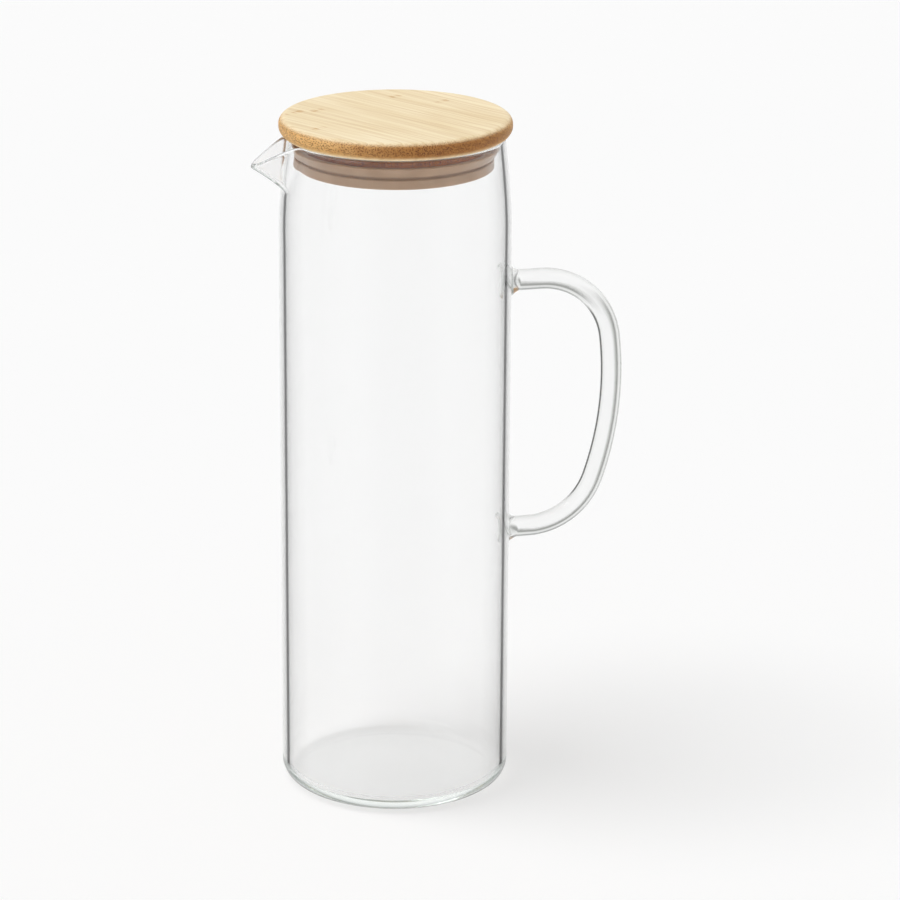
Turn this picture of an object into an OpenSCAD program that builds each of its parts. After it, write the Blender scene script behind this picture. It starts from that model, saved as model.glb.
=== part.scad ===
// Glass pitcher with a pulled spout, a bent rod handle and a round bamboo lid that plugs the mouth.
// +Z is up, the spout points to -X, the handle stands on +X, and the origin is the centre of the foot.

/* [Body] */
// Outer diameter of the straight glass wall
body_d = 100; // [90:1:120]
// Height of the glass from the foot to the top of the rim
glass_h = 292.5; // [270:0.5:330]
// Thickness of the blown wall
wall = 2.2; // [1.8:0.1:2.8]
// Thickness of the floor where it meets the heel
floor_t = 4.6; // [3.5:0.1:7]
// Outer radius of the rounded heel
heel_r = 8.3; // [6:0.1:11]
// How far the middle of the foot is pushed up
push_up = 1.2; // [0.6:0.1:2]
// Width of the flat ring that the pitcher stands on
foot_w = 7; // [4:0.5:10]
// Height over which the wall draws in below the rim
neck_h = 40; // [34:1:50]
// How far the wall draws in at the rim
neck_in = 3.2; // [2:0.1:4]

/* [Spout] */
// How far the spout's tip stands out past the rim
spout_reach = 15.6; // [10:0.1:20]
// How far the spout's tip lies below the rim
spout_drop = 10.2; // [5:0.1:12]
// Height of the pulled part of the wall, measured down from the rim
spout_h = 22; // [20:0.5:28]
// Half the angle of the mouth that the spout takes up
spout_angle = 25.5; // [20:0.5:34]

/* [Handle] */
// Diameter of the glass rod
rod_d = 9.2; // [7:0.1:12]
// Height of the upper root's centre above the foot
upper_root_z = 224.5; // [205:0.5:235]
// Straight run of the rod from the wall to the top bend
upper_run = 14.9; // [12:0.1:22]
// Radius of the top bend, at the middle of the rod
top_bend_r = 32; // [28:0.5:36]
// Angle that the top bend turns through
top_bend_a = 83; // [76:0.5:85]
// Radius of the long bend at the back
back_bend_r = 144; // [110:1:170]
// Angle that the long bend turns through
back_bend_a = 26; // [20:0.5:28]
// Radius of the bottom bend
low_bend_r = 30.7; // [26:0.1:34]
// Diameter of the upper root where it is fused to the wall
upper_root_d = 15.6; // [12.5:0.1:18]
// Diameter of the lower root where it is fused to the wall
low_root_d = 14; // [12.5:0.1:18]
// Length over which a root tapers to the rod
root_l = 4.8; // [3.5:0.1:7]

/* [Lid] */
// How far the disc's edge lies inside the glass wall's outer face
disc_inset = 0.1; // [0:0.05:4]
// Thickness of the disc
disc_t = 8.15; // [7.8:0.05:12]
// Radius of the disc's upper edge
disc_top_r = 3.3; // [1.5:0.1:3.6]
// Radius of the disc's lower edge
disc_low_r = 4.15; // [1.5:0.05:4.2]
// Depth of the plug below the disc
plug_h = 13.6; // [12.5:0.1:18]
// Height of the plain neck between the disc and the seal
plug_neck_h = 4.4; // [3:0.1:5]
// Depth of the groove that holds the seal
groove_depth = 2.4; // [1.5:0.1:3]
// Height of the flange that keeps the seal on
flange_h = 1.4; // [1:0.1:2]

/* [Seal] */
// How far the upper lip stands out from the plug's neck
lip_reach = 3.3; // [2.6:0.1:4]
// Height of the upper lip
lip_h = 4; // [3:0.1:4.5]
// Height of the lower lip
low_lip_h = 4.1; // [3:0.1:4.5]
// How much narrower the lower lip is than the upper one
low_lip_inset = 2.3; // [1.6:0.1:2.6]

/* [Fits] */
// Gap between the seal's upper lip and the narrowest part of the mouth
mouth_gap = 0.3; // [0.2:0.05:0.6]
// Gap between the rim and the lid's underside
rim_gap = 0.2; // [0.1:0.05:0.5]
// Gap between the seal and its groove
groove_gap = 0.08; // [0.05:0.01:0.1]

/* [Hidden] */
$fn = 96;

body_r = body_d / 2;
rod_r = rod_d / 2;
inner_r = body_r - wall;
inner_heel_r = heel_r - wall;
foot_r = body_r - heel_r;
neck_z = glass_h - neck_h;
lip_r = wall / 2;
spout_z = glass_h - spout_h;
mouth_r = body_r - neck_in - wall;
lid_z = glass_h + rim_gap;

// Shares that shape the neck and the spout, chosen by eye
neck_power = 1.5;
spout_power = 2.6;
flare_power = 1.1;
spout_root_share = 0.5;

// Lean of the wall at the rim, and the height where its rounding starts, so that its top is at glass_h
rim_lean = atan(neck_power * neck_in / neck_h);
rim_z = glass_h - lip_r * (1 - sin(rim_lean));

// The upper glass stands this much inside the lower glass's edges, so that the two fuse face to face
seam = 0.03;

// Steps of the curves
arc_steps = 10;
neck_steps = 6;
lip_steps = 6;
spout_rows = 12;
spout_columns = 40;
plain_columns = 56;
rod_sides = 24;
probe_share = 0.001;

// Polar point at an angle on a circle
function on_circle(centre, r, angle) = centre + r * [cos(angle), sin(angle)];

// Points of an arc from one angle to another
function arc(centre, r, from, to, steps = arc_steps) =
    [for (i = [0:steps]) on_circle(centre, r, from + (to - from) * i / steps)];

function unit(v) = v / norm(v);
function reversed(points) = [for (i = [len(points) - 1:-1:0]) points[i]];

// Outer radius of the plain glass at a height
function outer_r(z) = body_r - neck_in * pow(max(0, (z - neck_z) / neck_h), neck_power);

// How much of the spout's pull a point gets: a is its angle from the spout, u its height share
function pulled_angle(u) = spout_angle * (spout_root_share + (1 - spout_root_share) * u);
function pull(a, u) =
    abs(a) >= pulled_angle(u) ? 0
    : pow((1 + cos(180 * a / pulled_angle(u))) / 2, spout_power) * pow(max(0, u), flare_power);

// Outer skin of the glass from the foot of the spout (u = 0) to the rim (u = 1)
function skin(a, u) =
    let (
        z = spout_z + u * (rim_z - spout_z),
        share = pull(a, u),
        r = outer_r(z) + spout_reach * share
    )
    [-r * cos(a), r * sin(a), z - spout_drop * share];

// Unit vectors up along the skin and out of it
function skin_up(a, u) = unit(skin(a, u + probe_share) - skin(a, u - probe_share));
function skin_out(a, u) = unit(cross(skin_up(a, u), skin(a + probe_share, u) - skin(a - probe_share, u)));

// One closed section of the wall at an angle: up the outer skin, over the rounded rim, down the inner skin
function wall_section(a, inset) =
    let (
        out = skin_out(a, 1),
        up = skin_up(a, 1),
        centre = skin(a, 1) - lip_r * out,
        edge_r = lip_r - inset,
        rows = [for (i = [0:spout_rows]) i / spout_rows]
    )
    concat(
        [for (u = rows) layer(a, u, inset)],
        [for (i = [1:lip_steps - 1])
            centre + edge_r * (cos(180 * i / lip_steps) * out + sin(180 * i / lip_steps) * up)],
        [for (u = reversed(rows)) layer(a, u, wall - inset)]
    );

// Point at a depth below the skin; the lowest row stays level, because it stands on the lower glass
function layer(a, u, depth) =
    let (p = skin(a, u) - depth * skin_out(a, u))
    u > 0 ? p : [p.x, p.y, spout_z];

// Outer outline of the drawn-in wall below the spout, and the inner one a wall's thickness inside it
function neck_height(i) = neck_z + (spout_z - neck_z) * i / neck_steps;
function neck_outline(depth) =
    [for (i = [0:neck_steps])
        let (
            z = neck_height(i),
            step = probe_share * neck_h,
            up = unit([outer_r(z + step) - outer_r(z - step), 2 * step]),
            p = [outer_r(z), z] - depth * [up.y, -up.x]
        )
        i < neck_steps ? p : [p.x, spout_z]];

// Shallow dome under the foot and over the floor, from the axis outwards
function dome(r, edge_z) =
    [for (i = [0:arc_steps])
        let (share = i / arc_steps)
        [r * share, edge_z + push_up * (1 + cos(180 * share)) / 2]];

// Lower glass: foot ring, heel, straight wall and the start of the neck
module lower_glass() {
    inner_foot_r = inner_r - inner_heel_r;
    rotate_extrude()
        polygon(concat(
            dome(foot_r - foot_w, 0),
            arc([foot_r, heel_r], heel_r, -90, 0),
            neck_outline(0),
            reversed(neck_outline(wall)),
            arc([inner_foot_r, floor_t + inner_heel_r], inner_heel_r, 0, -90),
            reversed(dome(inner_foot_r - wall, floor_t))
        ));
}

// Solid skinned over rings of points, each with the same number of them: closed on itself, or capped
module loft(rings, closed = false) {
    n = len(rings[0]);
    count = len(rings);
    last = closed ? count - 1 : count - 2;
    sides = [for (i = [0:last], j = [0:n - 1])
        let (
            k = (j + 1) % n,
            next = (i + 1) % count,
            a = i * n + j,
            b = i * n + k,
            c = next * n + k,
            d = next * n + j
        )
        each [[a, d, b], [d, c, b]]];
    caps = [[for (j = [0:n - 1]) j], [for (j = [n - 1:-1:0]) (count - 1) * n + j]];
    polyhedron(
        points = [for (ring = rings) each ring],
        faces = closed ? sides : concat(caps, sides)
    );
}

// Upper glass: wall sections lofted round the mouth, close together where the spout was pulled out hot
module upper_glass() {
    plain_angle = 180 - spout_angle;
    angles = concat(
        [for (i = [0:spout_columns]) spout_angle * (2 * i / spout_columns - 1)],
        [for (i = [1:plain_columns - 1]) spout_angle + 2 * plain_angle * i / plain_columns]
    );
    loft([for (a = angles) wall_section(a, seam)], closed = true);
}

module glass_body() {
    color("lightcyan", 0.4)
        union() {
            lower_glass();
            upper_glass();
        }
}

// Rod path in the XZ plane: a heading is the angle that the rod has turned down from +X
top_centre = [body_r + upper_run, upper_root_z - top_bend_r];
back_heading = top_bend_a;
back_centre = top_centre + (top_bend_r - back_bend_r) * [sin(back_heading), cos(back_heading)];
low_heading = back_heading + back_bend_a;
low_centre = back_centre + (back_bend_r - low_bend_r) * [sin(low_heading), cos(low_heading)];
lower_root_z = low_centre.y - low_bend_r;

// Stations along the rod, each [x, z, heading, radius]; a bend leaves out its last one, where the next starts
function bend(centre, r, from, to) =
    [for (i = [0:arc_steps - 1])
        let (heading = from + (to - from) * i / arc_steps)
        [centre.x + r * sin(heading), centre.y + r * cos(heading), heading, rod_r]];
function root(z, heading, root_r) =
    [for (i = [0:lip_steps])
        let (share = i / lip_steps)
        [body_r + root_l * share, z, heading, rod_r + (root_r - rod_r) * pow(1 - share, 2)]];
function ring_round(station) =
    let (out = [sin(station[2]), 0, cos(station[2])])
    [for (j = [0:rod_sides - 1])
        let (a = 360 * j / rod_sides)
        [station[0], 0, station[1]] + station[3] * (cos(a) * out - sin(a) * [0, 1, 0])];

// The handle: a rod lofted along its path, its flared roots cut to the wall's curve
module handle() {
    upper_r = upper_root_d / 2;
    low_r = low_root_d / 2;
    stations = concat(
        [[body_r - upper_r, upper_root_z, 0, upper_r]],
        root(upper_root_z, 0, upper_r),
        bend(top_centre, top_bend_r, 0, back_heading),
        bend(back_centre, back_bend_r, back_heading, low_heading),
        bend(low_centre, low_bend_r, low_heading, 180),
        reversed(root(lower_root_z, 180, low_r)),
        [[body_r - low_r, lower_root_z, 180, low_r]]
    );
    color("azure", 0.5)
        difference() {
            loft([for (station = stations) ring_round(station)]);
            cylinder(r = body_r, h = glass_h);
        }
}

// Round board with a softly rounded rim
module lid_disc() {
    disc_r = body_r - disc_inset;
    color("burlywood")
        translate([0, 0, lid_z])
            rotate_extrude()
                polygon(concat(
                    [[0, 0]],
                    arc([disc_r - disc_low_r, disc_low_r], disc_low_r, -90, 0),
                    arc([disc_r - disc_top_r, disc_t - disc_top_r], disc_top_r, 0, 90),
                    [[0, disc_t]]
                ));
}

// The plug's radii, worked in from the mouth
lip_out_r = mouth_r - mouth_gap;
plug_r = lip_out_r - lip_reach;
groove_r = plug_r - groove_depth;
flange_r = plug_r - groove_depth / 2;
flange_top_z = lid_z - plug_h + flange_h;
plug_edge = flange_h / 3;

// Plug glued under the disc, with the seal's groove and the flange below it
module lid_plug() {
    color("peru")
        rotate_extrude()
            polygon([
                [0, lid_z],
                [plug_r, lid_z],
                [plug_r, lid_z - plug_neck_h],
                [groove_r, lid_z - plug_neck_h],
                [groove_r, flange_top_z],
                [flange_r, flange_top_z],
                [flange_r, lid_z - plug_h + plug_edge],
                [flange_r - plug_edge, lid_z - plug_h],
                [0, lid_z - plug_h]
            ]);
}

// Seal with a hollow upper lip that wipes the glass and a plain lower one, on a sleeve in the groove
module seal_ring() {
    skin_t = lip_reach / 4;
    top_z = lid_z - plug_neck_h + skin_t / 2;
    low_r = lip_out_r - low_lip_inset;
    sleeve_r = plug_r - skin_t / 2;
    bottom_z = lid_z - plug_h + groove_gap;
    edge = skin_t / 2;
    color("gainsboro", 0.8)
        rotate_extrude()
            polygon([
                [flange_r + groove_gap, bottom_z],
                [low_r - edge, bottom_z],
                [low_r, bottom_z + edge],
                [low_r, bottom_z + low_lip_h - edge],
                [low_r - edge, bottom_z + low_lip_h],
                [sleeve_r, bottom_z + low_lip_h],
                [sleeve_r, top_z - lip_h],
                [low_r + edge, top_z - lip_h],
                [lip_out_r, top_z - edge],
                [lip_out_r - edge, top_z],
                [lip_out_r - skin_t, top_z],
                [low_r - edge, top_z - lip_h / 2],
                [sleeve_r, lid_z - plug_neck_h - groove_gap],
                [groove_r + groove_gap, lid_z - plug_neck_h - groove_gap],
                [groove_r + groove_gap, flange_top_z + groove_gap],
                [flange_r + groove_gap, flange_top_z + groove_gap]
            ]);
}

glass_body();
handle();
lid_disc();
lid_plug();
seal_ring();
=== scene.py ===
"""Looks of the glass pitcher with its bamboo lid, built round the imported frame. Metres, +Z up, spout to -X."""
import math

import bmesh
import bpy
import numpy as np
from mathutils import Matrix, Vector


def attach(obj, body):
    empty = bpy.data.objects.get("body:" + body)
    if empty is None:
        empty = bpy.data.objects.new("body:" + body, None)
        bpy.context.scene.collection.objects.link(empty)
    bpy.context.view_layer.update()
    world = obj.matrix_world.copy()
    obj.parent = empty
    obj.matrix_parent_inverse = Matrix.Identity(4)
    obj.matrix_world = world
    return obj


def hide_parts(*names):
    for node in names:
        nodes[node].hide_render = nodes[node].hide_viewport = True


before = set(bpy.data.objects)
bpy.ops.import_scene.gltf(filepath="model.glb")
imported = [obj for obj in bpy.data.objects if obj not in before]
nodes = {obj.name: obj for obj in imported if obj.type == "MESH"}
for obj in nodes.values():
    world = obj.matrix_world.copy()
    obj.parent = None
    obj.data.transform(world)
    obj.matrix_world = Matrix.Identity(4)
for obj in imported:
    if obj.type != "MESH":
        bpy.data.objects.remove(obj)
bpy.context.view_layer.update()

MM = 0.001

# The part's own sizes, in millimetres and degrees
BODY_R, GLASS_H, WALL, FLOOR_T, HEEL_R = 50.0, 292.5, 2.2, 4.6, 8.3
PUSH_UP, FOOT_W, NECK_H, NECK_IN, NECK_POWER = 1.2, 7.0, 40.0, 3.2, 1.5
SPOUT_REACH, SPOUT_DROP, SPOUT_H, SPOUT_ANGLE = 15.6, 10.2, 22.0, 25.5
SPOUT_POWER, FLARE_POWER, SPOUT_ROOT = 2.6, 1.1, 0.5
ROD_R, UPPER_ROOT_R, LOW_ROOT_R, ROOT_L = 4.6, 7.8, 7.0, 4.8
ROOT_POWER, ROOT_SUNK = 1.3, 0.7
UPPER_ROOT_Z, UPPER_RUN = 224.5, 14.9
TOP_BEND_R, TOP_BEND_A, BACK_BEND_R, BACK_BEND_A, LOW_BEND_R = 32.0, 83.0, 144.0, 26.0, 30.7

NECK_Z = GLASS_H - NECK_H
SPOUT_Z = GLASS_H - SPOUT_H
LIP_R = WALL / 2
RIM_LEAN = math.atan(NECK_POWER * NECK_IN / NECK_H)
RIM_Z = GLASS_H - LIP_R * (1 - math.sin(RIM_LEAN))
FOOT_R = BODY_R - HEEL_R
INNER_R = BODY_R - WALL
INNER_HEEL_R = HEEL_R - WALL
INNER_FOOT_R = INNER_R - INNER_HEEL_R

# How finely the meshes are cut
SPOUT_POINTS, REST_POINTS = 121, 193
DOME_STEPS, HEEL_STEPS, INNER_HEEL_STEPS, NECK_STEPS, LIP_STEPS = 14, 14, 12, 12, 10
WALL_ROWS, SPOUT_ROWS = 18, 33
ROD_SIDES, ROOT_ROWS, TOP_BEND_STEPS, BACK_BEND_STEPS, LOW_BEND_STEPS = 48, 15, 48, 36, 44

# The glass body's mesh attributes: INSIDE goes from 0 on the outer skin to 1 on the inner one, and EDGE, the share
# of painted edge shade, is 1 on the heel, on the rim and where the spout is pulled
INSIDE, EDGE = "inside", "drawn"
# Rows this far above the heel's curve are the last with EDGE and the first without; on the spout EDGE is the pull
# times SPOUT_GAIN
HEEL_ENDS, SPOUT_GAIN = (0.4, 2.4), 12


# ---------------------------------------------------------------- meshes
def outer_r(z):
    return BODY_R - NECK_IN * np.maximum(0, (z - NECK_Z) / NECK_H) ** NECK_POWER


def pull(a, u):
    """How much of the spout's pull a point gets, at angle a (degrees) from the spout and height share u."""
    reach = SPOUT_ANGLE * (SPOUT_ROOT + (1 - SPOUT_ROOT) * u)
    inside = np.abs(a) < reach
    wave = np.where(inside, (1 + np.cos(np.pi * a / reach)) / 2, 0)
    return wave ** SPOUT_POWER * np.maximum(0, u) ** FLARE_POWER


def skin(a, u):
    """Points of the outer skin beside and on the spout."""
    z = SPOUT_Z + u * (RIM_Z - SPOUT_Z)
    share = pull(a, u)
    r = outer_r(z) + SPOUT_REACH * share
    t = np.radians(a)
    return np.stack([-r * np.cos(t), r * np.sin(t), z - SPOUT_DROP * share], -1)


def unit(v):
    return v / np.linalg.norm(v, axis=-1, keepdims=True)


def skin_frame(a, u):
    """Unit vectors up along the outer skin and out of it."""
    step = 0.002
    up = unit(skin(a, u + step) - skin(a, u - step))
    out = unit(np.cross(up, skin(a + step, u) - skin(a - step, u)))
    return up, out


def around(a, points):
    """Lathe rows: (r, z) pairs turned to every angle a, measured from the spout."""
    t = np.radians(a)
    return [np.stack([-r * np.cos(t), r * np.sin(t), np.full_like(t, z)], -1) for r, z in points]


def arc(centre, r, start, stop, steps):
    angles = np.radians(np.linspace(start, stop, steps + 1))
    return [(centre[0] + r * math.cos(x), centre[1] + r * math.sin(x)) for x in angles]


def dome(r, edge_z):
    """Shallow dome rows without the point on the axis."""
    shares = [i / DOME_STEPS for i in range(1, DOME_STEPS + 1)]
    return [(r * s, edge_z + PUSH_UP * (1 + math.cos(math.pi * s)) / 2) for s in shares]


def neck_rows(depth):
    """Rows of the neck up to the spout's foot, at a depth under the outer skin."""
    step = NECK_H * 0.001
    rows = []
    for i in range(NECK_STEPS + 1):
        z = NECK_Z + (SPOUT_Z - NECK_Z) * i / NECK_STEPS
        slope = unit(np.array([outer_r(z + step) - outer_r(z - step), 2 * step]))
        rows.append((outer_r(z) - depth * slope[1], z + depth * slope[0]))
    return rows


def new_object(name, verts, faces, smooth=True):
    mesh = bpy.data.meshes.new(name)
    mesh.from_pydata([tuple(v) for v in verts], [], faces)
    mesh.update()
    if smooth:
        mesh.polygons.foreach_set("use_smooth", [True] * len(mesh.polygons))
    obj = bpy.data.objects.new(name, mesh)
    bpy.context.scene.collection.objects.link(obj)
    return obj


def rings_to_mesh(name, rings, first, last):
    """A closed skin over rings of points and a pole at either end, its faces turned outwards. From millimetres."""
    n = len(rings[0])
    verts = [tuple(p * MM) for ring in rings for p in ring]
    verts += [tuple(np.array(pole) * MM) for pole in (first, last)]
    faces = []
    for i in range(len(rings) - 1):
        for j in range(n):
            k = (j + 1) % n
            faces.append((i * n + j, i * n + k, (i + 1) * n + k, (i + 1) * n + j))
    base, pole = (len(rings) - 1) * n, len(rings) * n
    faces += [(pole, (j + 1) % n, j) for j in range(n)]
    faces += [(pole + 1, base + j, base + (j + 1) % n) for j in range(n)]
    obj = new_object(name, verts, faces)
    bm = bmesh.new()
    bm.from_mesh(obj.data)
    bmesh.ops.recalc_face_normals(bm, faces=bm.faces)
    bm.to_mesh(obj.data)
    bm.free()
    return obj


def make_glass():
    spout = np.linspace(-SPOUT_ANGLE, SPOUT_ANGLE, SPOUT_POINTS)
    rest = np.linspace(SPOUT_ANGLE, 360 - SPOUT_ANGLE, REST_POINTS)[1:-1]
    a = np.concatenate([spout, rest])
    a = np.where(a > 180, a - 360, a)
    us = np.linspace(0, 1, SPOUT_ROWS)

    # from the middle of the foot up the outer skin
    rings = around(a, dome(FOOT_R - FOOT_W, 0))
    rings += around(a, [(FOOT_R - FOOT_W / 2, 0)])
    rings += around(a, arc((FOOT_R, HEEL_R), HEEL_R, -90, 0, HEEL_STEPS))
    rings += around(a, [(BODY_R, HEEL_R + h) for h in HEEL_ENDS])
    heel_rows = len(rings) - 1
    rings += around(a, [(BODY_R, z) for z in np.linspace(HEEL_R, NECK_Z, WALL_ROWS)[1:-1]])
    rings += around(a, neck_rows(0)[:-1])
    rings += [skin(a, u) for u in us]
    outer_rows = len(rings)

    # over the rim
    up, out = skin_frame(a, 1.0)
    centre = skin(a, 1.0) - LIP_R * out
    for i in range(1, LIP_STEPS):
        t = math.pi * i / LIP_STEPS
        rings.append(centre + LIP_R * (math.cos(t) * out + math.sin(t) * up))
    rim_rows = len(rings)

    # and down the inner skin to the middle of the floor
    rings += [skin(a, u) - WALL * skin_frame(a, u)[1] for u in us[::-1]]
    rings += around(a, neck_rows(WALL)[:-1][::-1])
    rings += around(a, [(INNER_R, z) for z in np.linspace(NECK_Z, FLOOR_T + INNER_HEEL_R, WALL_ROWS)[1:-1]])
    rings += around(a, arc((INNER_FOOT_R, FLOOR_T + INNER_HEEL_R), INNER_HEEL_R, 0, -90, INNER_HEEL_STEPS))
    rings += around(a, dome(INNER_FOOT_R - WALL, FLOOR_T)[::-1])
    obj = rings_to_mesh("glass_body_blown", rings, (0, 0, PUSH_UP), (0, 0, FLOOR_T + PUSH_UP))

    inside = np.clip((np.arange(len(rings)) - outer_rows + 1) / LIP_STEPS, 0, 1)[:, None] * np.ones(len(a))
    pulled = np.minimum(1, SPOUT_GAIN * pull(a[None, :], us[:, None]))
    edge = np.zeros((len(rings), len(a)))
    edge[:heel_rows] = 1
    edge[outer_rows - len(us):outer_rows] = pulled
    edge[outer_rows:rim_rows] = 1
    edge[rim_rows:rim_rows + len(us)] = pulled[::-1]
    for name, rows, poles in ((INSIDE, inside, [0.0, 1.0]), (EDGE, edge, [0.0, 0.0])):
        layer = obj.data.attributes.new(name, "FLOAT", "POINT")
        layer.data.foreach_set("value", np.concatenate([rows.ravel(), poles]).astype(np.float32))
    return obj


def handle_stations():
    """(x, z, heading in degrees, radius) along the rod, from the upper root to the lower one."""
    def on(centre, r, heading):
        h = math.radians(heading)
        return centre[0] + r * math.sin(h), centre[1] + r * math.cos(h)

    def root(root_r):
        return [(BODY_R + ROOT_L * s, ROD_R + (root_r - ROD_R) * (1 - s) ** ROOT_POWER)
                for s in np.linspace(0, 1, ROOT_ROWS)]

    top = (BODY_R + UPPER_RUN, UPPER_ROOT_Z - TOP_BEND_R)
    low_heading = TOP_BEND_A + BACK_BEND_A
    back = on(top, TOP_BEND_R - BACK_BEND_R, TOP_BEND_A)
    low = on(back, BACK_BEND_R - LOW_BEND_R, low_heading)
    low_z = low[1] - LOW_BEND_R

    stations = [(BODY_R - ROOT_SUNK, UPPER_ROOT_Z, 0, UPPER_ROOT_R)]
    stations += [(x, UPPER_ROOT_Z, 0, r) for x, r in root(UPPER_ROOT_R)]
    for centre, r, start, stop, steps in (
        (top, TOP_BEND_R, 0, TOP_BEND_A, TOP_BEND_STEPS),
        (back, BACK_BEND_R, TOP_BEND_A, low_heading, BACK_BEND_STEPS),
        (low, LOW_BEND_R, low_heading, 180, LOW_BEND_STEPS),
    ):
        for heading in np.linspace(start, stop, steps + 1)[:-1]:
            stations.append((*on(centre, r, heading), heading, ROD_R))
    stations += [(x, low_z, 180, r) for x, r in root(LOW_ROOT_R)[::-1]]
    stations.append((BODY_R - ROOT_SUNK, low_z, 180, LOW_ROOT_R))
    return stations


def make_handle():
    sides = np.radians(np.linspace(0, 360, ROD_SIDES + 1)[:-1])[:, None]
    across = np.array([0, 1, 0])
    stations = handle_stations()
    rings = []
    for x, z, heading, r in stations:
        h = math.radians(heading)
        out = np.array([math.sin(h), 0, math.cos(h)])
        ring = np.array([x, 0, z]) + r * (np.cos(sides) * out - np.sin(sides) * across)
        # near the wall the ring follows the wall's curve
        share = np.clip(1 - (x - BODY_R) / ROOT_L, 0, 1)
        ring[:, 0] -= share * (BODY_R - np.sqrt(np.maximum(0, BODY_R ** 2 - ring[:, 1] ** 2)))
        rings.append(ring)
    return rings_to_mesh("handle_rod", rings, *[(x, 0, z) for x, z, _, _ in (stations[0], stations[-1])])


# ---------------------------------------------------------------- materials
WHITE = (1, 1, 1, 1)

IOR, GLOSS = 1.47, 0.3
VOLUME_TINT, VOLUME_DENSITY = (0.84, 0.92, 0.87, 1), 5.0
# What passes the glass, for how far its face turns from the ray that enters it (0 square on, 1 along it)
# Painted shade: these lists darken the glass towards its edges and in narrow lines, standing in for the dark studio
# walls that real glass shows there
BODY_OUTSIDE = [(0.0, 0.99), (0.40, 0.975), (0.48, 0.93), (0.534, 0.88), (0.582, 0.84), (0.619, 0.76), (0.658, 0.66),
                (0.676, 0.30), (0.688, 0.01), (0.728, 0.01), (0.742, 0.38), (0.77, 0.58), (0.80, 0.66), (0.84, 0.72),
                (0.915, 0.84), (1.0, 0.80)]
BODY_INSIDE = [(0.0, 0.99), (0.60, 0.97), (0.75, 0.93), (0.85, 0.80), (0.93, 0.60), (1.0, 0.50)]
BODY_EDGE = [(0.0, 0.99), (0.45, 0.97), (0.60, 0.88), (0.72, 0.66), (0.82, 0.42), (0.92, 0.22), (1.0, 0.15)]
ROD_PLAIN = [(0.0, 0.97), (0.3, 0.95), (0.5, 0.90), (0.7, 0.82), (0.85, 0.70), (1.0, 0.60)]
ROD_LINE = [(0.0, 0.97), (0.15, 0.95), (0.35, 0.88), (0.42, 0.80), (0.46, 0.66), (0.50, 0.06), (0.70, 0.02),
            (0.88, 0.05), (1.0, 0.10)]
ROD_BAND = [(0.0, 0.95), (0.05, 0.95), (0.075, 0.90), (0.089, 0.72), (0.118, 0.62), (0.157, 0.46), (0.201, 0.36),
            (0.255, 0.38), (0.285, 0.70), (0.341, 0.80), (0.431, 0.86), (0.50, 0.80), (0.55, 0.46), (0.60, 0.42),
            (0.66, 0.68), (0.78, 0.78), (0.90, 0.50), (1.0, 0.25)]
# The headings of the rod's painted shade band and line, and the cosines over which they come in; how green its dark
# parts are
BAND_SIDE, BAND_REACH = (0.68, -0.17, -0.70), (0.02, 0.30)
LINE_SIDE, LINE_REACH = (-1, 0, 0), (0.55, 0.80)
ROD_GREEN = 0.03
# What passes the glass of the lamps' light, by the same measure
SHADOW = [(0.0, 0.99), (0.60, 0.93), (0.85, 0.66), (1.0, 0.25)]
# Light that has been bent or reflected more often than this leaves the glass
TRAPPED = 12.5
# The heel's share of the way to index 1, which runs out between these heights (metres)
HEEL_FROM, HEEL_TO, HEEL_CALM = 0.008, 0.016, 0.5

GRAIN_TURN = 59.0
STRIP_WIDTH, STRIP_SHIFT = 0.0071, 0.9
KNUCKLE_STEP, KNUCKLE_WIDTH = 0.115, 0.0028


def material(name):
    mat = bpy.data.materials.new(name)
    mat.use_nodes = True
    tree = mat.node_tree
    tree.nodes.clear()
    out = tree.nodes.new("ShaderNodeOutputMaterial")
    bsdf = tree.nodes.new("ShaderNodeBsdfPrincipled")
    tree.links.new(bsdf.outputs[0], out.inputs["Surface"])
    return mat, tree, bsdf, out


def give(node, values):
    """Sets a node's inputs and settings by name. A value that is another node's output is linked."""
    for key, value in values.items():
        if isinstance(value, bpy.types.NodeSocket):
            node.id_data.links.new(value, node.inputs[key])
        elif key in node.inputs:
            node.inputs[key].default_value = value
        else:
            setattr(node, key, value)
    return node


def add(tree, kind, **values):
    return give(tree.nodes.new(kind), values)


def srgb(r, g, b):
    def lin(c):
        c = c / 255
        return c / 12.92 if c <= 0.04045 else ((c + 0.055) / 1.055) ** 2.4
    return (lin(r), lin(g), lin(b), 1.0)


def grey(level):
    return (level, level, level, 1)


def coords(tree, name="Object"):
    return add(tree, "ShaderNodeTexCoord").outputs[name]


def split(tree, vector):
    """The outputs X, Y and Z for a vector."""
    return add(tree, "ShaderNodeSeparateXYZ", Vector=vector).outputs


def dot(tree, vector, towards):
    node = add(tree, "ShaderNodeVectorMath", operation="DOT_PRODUCT")
    tree.links.new(vector, node.inputs[0])
    node.inputs[1].default_value = towards
    return node.outputs["Value"]


def attribute(tree, name):
    return add(tree, "ShaderNodeAttribute", attribute_name=name).outputs["Fac"]


def remap(tree, value, source, target, kind="SMOOTHSTEP"):
    """Brings value from the range source to the range target."""
    limits = dict(zip(("From Min", "From Max", "To Min", "To Max"), (*source, *target)))
    return add(tree, "ShaderNodeMapRange", interpolation_type=kind, Value=value, **limits).outputs["Result"]


def ramp(tree, value, stops):
    """The colour for value between stops of (position, colour)."""
    node = add(tree, "ShaderNodeValToRGB", Fac=value)
    elements = node.color_ramp.elements
    while len(elements) < len(stops):
        elements.new(0.5)
    for e, (pos, colour) in zip(elements, stops):
        e.position = pos
        e.color = colour
    return node.outputs["Color"]


def bump(tree, height, strength, distance):
    return add(tree, "ShaderNodeBump", Height=height, Strength=strength, Distance=distance).outputs["Normal"]


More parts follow.
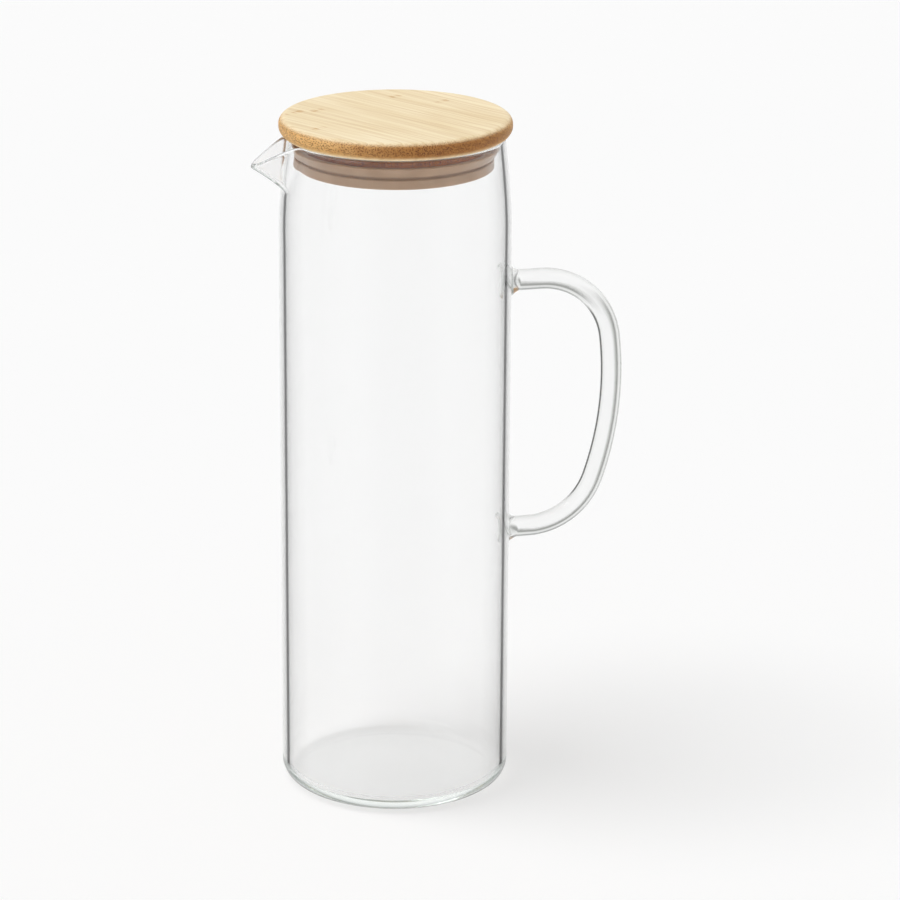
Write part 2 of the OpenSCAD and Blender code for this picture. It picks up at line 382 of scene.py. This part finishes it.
def mix_colour(tree, kind, factor, a, b):
    node = add(tree, "ShaderNodeMix", data_type="RGBA", blend_type=kind)
    for name, type_, value in (("Factor", "VALUE", factor), ("A", "RGBA", a), ("B", "RGBA", b)):
        target = next(x for x in node.inputs if x.name == name and x.type == type_)
        if isinstance(value, bpy.types.NodeSocket):
            tree.links.new(value, target)
        else:
            target.default_value = value
    return next(x for x in node.outputs if x.type == "RGBA")


def mix_shader(tree, factor, first, second):
    node = tree.nodes.new("ShaderNodeMixShader")
    for slot, source in enumerate((factor, first, second)):
        tree.links.new(source, node.inputs[slot])
    return node.outputs[0]


def node_maths(tree):
    """maths(operation, a, b) for this tree: a and b are outputs or numbers."""
    def maths(operation, a, b=None, **values):
        node = add(tree, "ShaderNodeMath", operation=operation, **values)
        for slot, value in ((0, a), (1, b)):
            if isinstance(value, bpy.types.NodeSocket):
                tree.links.new(value, node.inputs[slot])
            elif value is not None:
                node.inputs[slot].default_value = value
        return node.outputs[0]
    return maths


def length_of(maths, a, b):
    return maths("SQRT", maths("ADD", maths("MULTIPLY", a, a), maths("MULTIPLY", b, b)))


def clear_glass(name, stops, others, fused, green=0.0):
    """Blown glass. Where it is met along its surface its colour is painted darker, a painted shade standing in for
    the dark studio walls that real glass shows there.

    stops give what passes for how far the face turns away, others add such lists with the share of each, and fused
    gives the share that is melted into other glass, where light goes straight through. The darker a stop, the more
    red green takes out of it, and twice as much blue."""
    mat, tree, bsdf, out = material(name)
    maths = node_maths(tree)
    facing = add(tree, "ShaderNodeLayerWeight", Blend=0.5).outputs["Facing"]

    def passing(levels):
        # squared, since the shader takes the root of its colour at each face
        return ramp(tree, facing, [
            (pos, ((t * (1 - green * (1 - t))) ** 2, t ** 2, (t * (1 - 2 * green * (1 - t))) ** 2, 1))
            for pos, t in levels])

    # painted shade: the glass's colour darkens where its surface is met at a slant
    tint = passing(stops)
    for share, levels in others(tree):
        tint = mix_colour(tree, "MIX", share, tint, passing(levels))
    melted = fused(tree, maths)
    leaving = tree.nodes.new("ShaderNodeNewGeometry").outputs["Backfacing"]
    tint = mix_colour(tree, "MIX", maths("MAXIMUM", leaving, melted), tint, WHITE)
    # the index falls to 1 where the glass is melted on, and part of the way in the thick heel, which would
    # otherwise trap more light than the photo's does
    heel = remap(tree, split(tree, coords(tree))["Z"], (HEEL_FROM, HEEL_TO), (HEEL_CALM, 0.0))
    calm = maths("MAXIMUM", melted, heel)
    index = maths("SUBTRACT", IOR, maths("MULTIPLY", calm, IOR - 1))

    smear = add(tree, "ShaderNodeTexNoise", Vector=coords(tree), Scale=55.0, Detail=3.0).outputs["Fac"]
    stretched = add(tree, "ShaderNodeMapping", Vector=coords(tree), Scale=(1.0, 1.0, 0.25)).outputs["Vector"]
    wave = add(tree, "ShaderNodeTexNoise", Vector=stretched, Scale=22.0, Detail=1.0).outputs["Fac"]
    give(bsdf, {
        "Base Color": tint,
        "IOR": index,
        "Roughness": remap(tree, smear, (0.5, 0.8), (0.0, 0.02), "LINEAR"),
        "Normal": bump(tree, wave, 0.10, 0.0012),
        "Transmission Weight": 1.0,
        "Specular IOR Level": GLOSS,
    })
    volume = add(tree, "ShaderNodeVolumeAbsorption", Color=VOLUME_TINT, Density=VOLUME_DENSITY)
    tree.links.new(volume.outputs[0], out.inputs["Volume"])

    # light scattered by the floor passes straight through, and the lamps' with a tint, for a soft shadow under the
    # walls; light that has run to and fro inside the glass for long comes out too, in place of ending as black
    path = tree.nodes.new("ShaderNodeLightPath").outputs
    shade = ramp(tree, facing, [(pos, grey(t)) for pos, t in SHADOW])
    lit = add(tree, "ShaderNodeBsdfTransparent", Color=mix_colour(tree, "MIX", path["Is Diffuse Ray"], shade, WHITE))
    lamps = maths("MAXIMUM", path["Is Shadow Ray"], path["Is Diffuse Ray"])
    straight = maths("MAXIMUM", lamps, maths("GREATER_THAN", path["Ray Depth"], TRAPPED))
    tree.links.new(mix_shader(tree, straight, bsdf.outputs[0], lit.outputs[0]), out.inputs["Surface"])
    return mat


def body_skins(tree):
    return [(attribute(tree, INSIDE), BODY_INSIDE), (attribute(tree, EDGE), BODY_EDGE)]


def body_fused(tree, maths):
    """1 on the outer skin where the handle's roots are melted on."""
    xyz = split(tree, coords(tree))
    low_root_z = handle_stations()[-1][1]
    spots = [maths("LESS_THAN", length_of(maths, xyz["Y"], maths("SUBTRACT", xyz["Z"], z * MM)), r * MM)
             for z, r in ((UPPER_ROOT_Z, UPPER_ROOT_R), (low_root_z, LOW_ROOT_R))]
    outside = maths("LESS_THAN", attribute(tree, INSIDE), 0.5)
    right = maths("GREATER_THAN", xyz["X"], 0.0)
    return maths("MULTIPLY", maths("MAXIMUM", *spots), maths("MULTIPLY", outside, right))


def rod_sides(tree):
    """Painted shade: the rod's side to the right and below gets a dark band, and its side to the body a dark line.
    """
    normal = coords(tree, "Normal")
    return [(remap(tree, dot(tree, normal, Vector(towards).normalized()), reach, (0.0, 1.0)), stops)
            for towards, reach, stops in ((BAND_SIDE, BAND_REACH, ROD_BAND), (LINE_SIDE, LINE_REACH, ROD_LINE))]


def rod_fused(tree, maths):
    """1 on the ends, inside the body's wall."""
    xyz = split(tree, coords(tree))
    hair = 0.001
    return maths("LESS_THAN", length_of(maths, xyz["X"], xyz["Y"]), (BODY_R - hair) * MM)


def bamboo(name, top, side, end, turn, ends, streak=1.0):
    """Laminated bamboo, with a colour for its top, for its side and for where the fibres are cut. The side and cut
    colours are
    darker than the top: partly the wood's own darker grain, partly painted shade for light that falls from above.

    The fibres are turned by turn, a face towards the heading ends shows them cut, and streak is their strength."""
    mat, tree, bsdf, _ = material(name)
    maths = node_maths(tree)

    def multiply(factor, a, b):
        return mix_colour(tree, "MULTIPLY", factor, a, b)

    # strips: each has its own tone, and its own shift along the grain
    turned = add(tree, "ShaderNodeMapping", Vector=coords(tree), Rotation=(0, 0, math.radians(turn)))
    grain = split(tree, turned.outputs["Vector"])
    strip = maths("FLOOR", maths("MULTIPLY", grain["Y"], 1 / STRIP_WIDTH))
    tone = add(tree, "ShaderNodeTexWhiteNoise", noise_dimensions="1D", W=strip).outputs["Value"]
    along = maths("ADD", grain["X"], maths("MULTIPLY", tone, STRIP_SHIFT))
    shifted = add(tree, "ShaderNodeCombineXYZ", X=along, Y=grain["Y"], Z=grain["Z"]).outputs["Vector"]

    def texture(kind, scale, source=shifted, **values):
        scaled = add(tree, "ShaderNodeMapping", Vector=source, Scale=scale).outputs["Vector"]
        return add(tree, kind, Vector=scaled, Scale=1.0, **values).outputs

    fine = texture("ShaderNodeTexNoise", (26, 2400, 2400), Detail=2.0)["Fac"]
    medium = texture("ShaderNodeTexNoise", (16, 620, 620), Detail=3.0, Roughness=0.55)["Fac"]
    broad = texture("ShaderNodeTexNoise", (9, 120, 120), Detail=2.0)["Fac"]
    patch = texture("ShaderNodeTexNoise", (34, 34, 34), coords(tree), Detail=1.0)["Fac"]
    dots = texture("ShaderNodeTexVoronoi", (1350, 1600, 1600), feature="F1")["Distance"]

    # how far the surface turns from level, and how squarely it cuts the fibres
    normal = coords(tree, "Normal")
    upward = split(tree, normal)["Z"]
    side_mask = remap(tree, maths("ABSOLUTE", upward), (0.45, 0.985), (1.0, 0.0))
    heading = math.radians(ends)
    squarely = maths("ABSOLUTE", dot(tree, normal, (math.cos(heading), math.sin(heading), 0)))
    end_mask = remap(tree, squarely, (0.25, 1.0), (0.0, 1.0))

    # the side and cut colours: partly the wood's own darker grain, partly painted shade for light that falls from
    # above
    base = mix_colour(tree, "MIX", side_mask, top, mix_colour(tree, "MIX", end_mask, side, end))
    base = multiply(1.0, base, ramp(tree, tone, [
        (0.0, (0.97, 0.955, 0.93, 1)), (0.5, (0.995, 0.99, 0.98, 1)), (1.0, WHITE)]))
    for strength, noise, dark_at, dark, plain_at in (
        (0.65, broad, 0.36, (0.90, 0.85, 0.76, 1), 0.58),
        (0.62, medium, 0.34, (0.80, 0.69, 0.53, 1), 0.54),
        (0.5, fine, 0.32, (0.82, 0.72, 0.58, 1), 0.55),
        (0.35, patch, 0.40, (0.93, 0.89, 0.82, 1), 0.6),
    ):
        base = multiply(strength * streak, base, ramp(tree, noise, [(dark_at, dark), (plain_at, WHITE)]))

    # a knuckle now and then, broken up by the fibres
    knuckle = remap(tree, maths("PINGPONG", along, KNUCKLE_STEP), (0.0, KNUCKLE_WIDTH), (1.0, 0.0))
    knuckle = maths("MULTIPLY", knuckle, remap(tree, medium, (0.42, 0.56), (1.0, 0.0)))
    base = multiply(knuckle, base, (0.80, 0.64, 0.44, 1))

    # the fibres' ends: small dark dots over the rounded rim, fewer on the lower edge, where it faces down
    speck = remap(tree, dots, (0.22, 0.56), (1.0, 0.0))
    low_edge = remap(tree, upward, (-0.75, -0.15), (0.15, 1.0))
    speck = maths("MULTIPLY", maths("MULTIPLY", speck, maths("MULTIPLY", side_mask, low_edge)),
                  remap(tree, patch, (0.3, 0.6), (1.0, 0.85)))
    base = multiply(speck, base, (0.26, 0.17, 0.09, 1))
    height = maths("SUBTRACT", maths("MULTIPLY", fine, 0.6), maths("MULTIPLY", speck, 0.7))
    give(bsdf, {
        "Base Color": base,
        "Roughness": remap(tree, medium, (0.3, 0.7), (0.46, 0.60), "LINEAR"),
        "Normal": bump(tree, height, 0.35, 0.00012),
        "Specular IOR Level": 0.3,
    })
    return mat


def silicone():
    mat, tree, bsdf, _ = material("silicone")
    cloud = add(tree, "ShaderNodeTexNoise", Vector=coords(tree), Scale=140.0, Detail=3.0).outputs["Fac"]
    give(bsdf, {
        "Base Color": ramp(tree, cloud, [(0.3, srgb(198, 160, 124)), (0.7, srgb(212, 176, 142))]),
        "Roughness": remap(tree, cloud, (0.0, 1.0), (0.24, 0.40), "LINEAR"),
        "Normal": bump(tree, cloud, 0.1, 0.0001),
        "Transmission Weight": 0.4,
        "IOR": 1.41,
    })
    return mat


def wear(obj, mat):
    obj.data.materials.clear()
    obj.data.materials.append(mat)


glass = clear_glass("clear_glass", BODY_OUTSIDE, body_skins, body_fused)
rod_glass = clear_glass("clear_glass_rod", ROD_PLAIN, rod_sides, rod_fused, ROD_GREEN)
lid_wood = bamboo("bamboo_disc", srgb(255, 240, 206), srgb(234, 188, 120), srgb(176, 120, 56),
                  turn=GRAIN_TURN, ends=-76)
plug_wood = bamboo("bamboo_plug", srgb(222, 170, 100), srgb(184, 108, 34), srgb(168, 94, 28),
                   turn=GRAIN_TURN + 90, ends=31, streak=0.7)
rubber = silicone()

body = make_glass()
wear(body, glass)
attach(body, "jug")
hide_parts("glass_body")

handle = make_handle()
wear(handle, rod_glass)
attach(handle, "jug")
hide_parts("handle")

wear(nodes["lid_disc"], lid_wood)
wear(nodes["lid_plug"], plug_wood)
wear(nodes["seal_ring"], rubber)


# ---------------------------------------------------------------- stage, light and camera
PALE = 0.965
FLOOR_R, FLOOR_SIDES, FLOOR_Z = 9.0, 96, -0.00005
WORLD_LEVEL, KEY_LEVEL = 0.61, 0.39
# The key light's height, the side it comes from and its width, in degrees
KEY_HEIGHT, KEY_FROM, KEY_WIDTH = 67.0, 180.0, 36.0
# The colour of the studio, from level or below (0) to overhead (1)
SKY = [(0.0, grey(PALE)), (0.30, grey(PALE)), (0.55, (0.62, 0.63, 0.63, 1)), (0.80, (0.50, 0.51, 0.51, 1)),
       (1.0, grey(0.7))]
FRONT_GLOW, LEFT_GLOW, RIGHT_GLOW, BOX_EDGE_GLOW = 0.40, 2.4, 1.2, 0.5
FRONT_EDGES, BOX_EDGES = [(0.06, 0.0), (8.9, 0.0)], [(0.60, 0.30), (0.60, 1.1)]
CARD_STRIPS = 24
# Light that has been bent or reflected more often than this finds the cards pale
LATE = 3.5
# Reflections inside the glass count as glossy bounces, and would end as black after Blender's usual 4
BOUNCES, CLEAR_BOUNCES = 24, 16


def make_floor():
    turns = np.linspace(0, 2 * math.pi, FLOOR_SIDES + 1)[:-1]
    ring = [(FLOOR_R * math.cos(t), FLOOR_R * math.sin(t), FLOOR_Z) for t in turns]
    floor = new_object("floor", ring, [tuple(range(FLOOR_SIDES))], smooth=False)
    mat, _, bsdf, _ = material("floor")
    give(bsdf, {"Base Color": grey(PALE), "Roughness": 1.0, "Specular IOR Level": 0.0})
    wear(floor, mat)


def make_world():
    """White where the camera, gloss and glass look level or down, darker overhead; even light for diffuse rays."""
    world = bpy.data.worlds.new("studio")
    bpy.context.scene.world = world
    world.use_nodes = True
    tree = world.node_tree
    tree.nodes.clear()
    maths = node_maths(tree)
    path = tree.nodes.new("ShaderNodeLightPath").outputs
    direct = maths("LESS_THAN", path["Diffuse Depth"], 0.5)
    seen = maths("MULTIPLY", maths("ADD", path["Is Glossy Ray"], path["Is Transmission Ray"]), direct)
    seen = maths("ADD", seen, path["Is Camera Ray"], use_clamp=True)
    sky = ramp(tree, split(tree, coords(tree, "Generated"))["Z"], SKY)
    lit_back = add(tree, "ShaderNodeBackground", Color=WHITE, Strength=WORLD_LEVEL)
    seen_back = add(tree, "ShaderNodeBackground", Color=sky, Strength=1.0)
    out = tree.nodes.new("ShaderNodeOutputWorld")
    tree.links.new(mix_shader(tree, seen, lit_back.outputs[0], seen_back.outputs[0]), out.inputs[0])


def make_key():
    light = bpy.data.lights.new("key", "SUN")
    light.angle = math.radians(KEY_WIDTH)
    light.energy = math.pi * KEY_LEVEL / math.sin(math.radians(KEY_HEIGHT))
    lamp = bpy.data.objects.new("key", light)
    h, az = math.radians(KEY_HEIGHT), math.radians(KEY_FROM)
    towards = Vector((math.cos(h) * math.cos(az), math.cos(h) * math.sin(az), math.sin(h)))
    lamp.rotation_euler = towards.to_track_quat("Z", "Y").to_euler()
    bpy.context.scene.collection.objects.link(lamp)


def glow_card(name, centre, spread, fade_from, middle_glow, edge_glow, edges):
    """A curved card round the object that only gloss sees. Its glow goes from the middle's to the edges'.

    centre and spread, to either side of it, are in degrees, fade_from is a share of the spread, and edges are the
    (radius, height) of its two long edges."""
    middle, spread = math.radians(centre), math.radians(spread)
    cos, sin = math.cos(middle), math.sin(middle)
    row = CARD_STRIPS + 1
    turns = np.linspace(middle - spread, middle + spread, row)
    points = [(r * math.cos(t), r * math.sin(t), z) for r, z in edges for t in turns]
    card = new_object(name, points, [(i, i + 1, i + row + 1, i + row) for i in range(CARD_STRIPS)], smooth=False)
    mat, tree, bsdf, out = material(name)
    tree.nodes.remove(bsdf)
    maths = node_maths(tree)
    xyz = split(tree, coords(tree))
    # the angle from the card's middle, whichever way round it is measured
    ahead = maths("ADD", maths("MULTIPLY", xyz["X"], cos), maths("MULTIPLY", xyz["Y"], sin))
    across = maths("SUBTRACT", maths("MULTIPLY", xyz["Y"], cos), maths("MULTIPLY", xyz["X"], sin))
    off = maths("ABSOLUTE", maths("ARCTAN2", across, ahead))
    fade = remap(tree, off, (fade_from * spread, spread), (middle_glow, edge_glow))
    path = tree.nodes.new("ShaderNodeLightPath").outputs
    late = maths("GREATER_THAN", path["Ray Depth"], LATE)
    level = maths("MULTIPLY", fade, maths("SUBTRACT", 1.0, late))
    glow = add(tree, "ShaderNodeEmission", Strength=maths("ADD", level, maths("MULTIPLY", late, PALE)))
    tree.links.new(glow.outputs[0], out.inputs["Surface"])
    wear(card, mat)
    for kind in ("camera", "diffuse", "transmission", "shadow", "volume_scatter"):
        setattr(card, "visible_" + kind, False)


def make_cards():
    """The studio's darker front, on the floor before the object, and a soft box high on either side of it."""
    glow_card("card_front", -96, 48, 0.25, FRONT_GLOW, PALE, FRONT_EDGES)
    glow_card("card_left", -170, 48, 0.5, LEFT_GLOW, BOX_EDGE_GLOW, BOX_EDGES)
    glow_card("card_right", -28, 38, 0.5, RIGHT_GLOW, BOX_EDGE_GLOW, BOX_EDGES)


# The camera in a frame turned 14 degrees from the part's
TURN = math.radians(-14)
CAMERA_BACK, CAMERA_UP = 1.73018, 0.72662
PITCH, YAW, ROLL = 0.321103, 0.013813, 0.005874
LENS, SENSOR = 167.30, 36


def make_camera():
    fwd = Vector((math.sin(YAW) * math.cos(PITCH), math.cos(YAW) * math.cos(PITCH), -math.sin(PITCH)))
    right = Vector((math.cos(YAW), -math.sin(YAW), 0))
    up = right.cross(fwd)
    tilted_right = math.cos(ROLL) * right + math.sin(ROLL) * up
    tilted_up = math.cos(ROLL) * up - math.sin(ROLL) * right
    pose = Matrix((tilted_right, tilted_up, -fwd)).transposed().to_4x4()
    pose.translation = Vector((0, -CAMERA_BACK, CAMERA_UP))
    data = bpy.data.cameras.new("camera")
    data.lens = LENS
    data.sensor_width = SENSOR
    camera = bpy.data.objects.new("camera", data)
    camera.matrix_world = Matrix.Rotation(TURN, 4, "Z") @ pose
    bpy.context.scene.collection.objects.link(camera)
    bpy.context.scene.camera = camera


make_floor()
make_world()
make_key()
make_cards()
make_camera()
scene = bpy.context.scene
scene.view_settings.view_transform = "Standard"
scene.cycles.max_bounces = BOUNCES
scene.cycles.transmission_bounces = BOUNCES
scene.cycles.glossy_bounces = BOUNCES
scene.cycles.transparent_max_bounces = CLEAR_BOUNCES
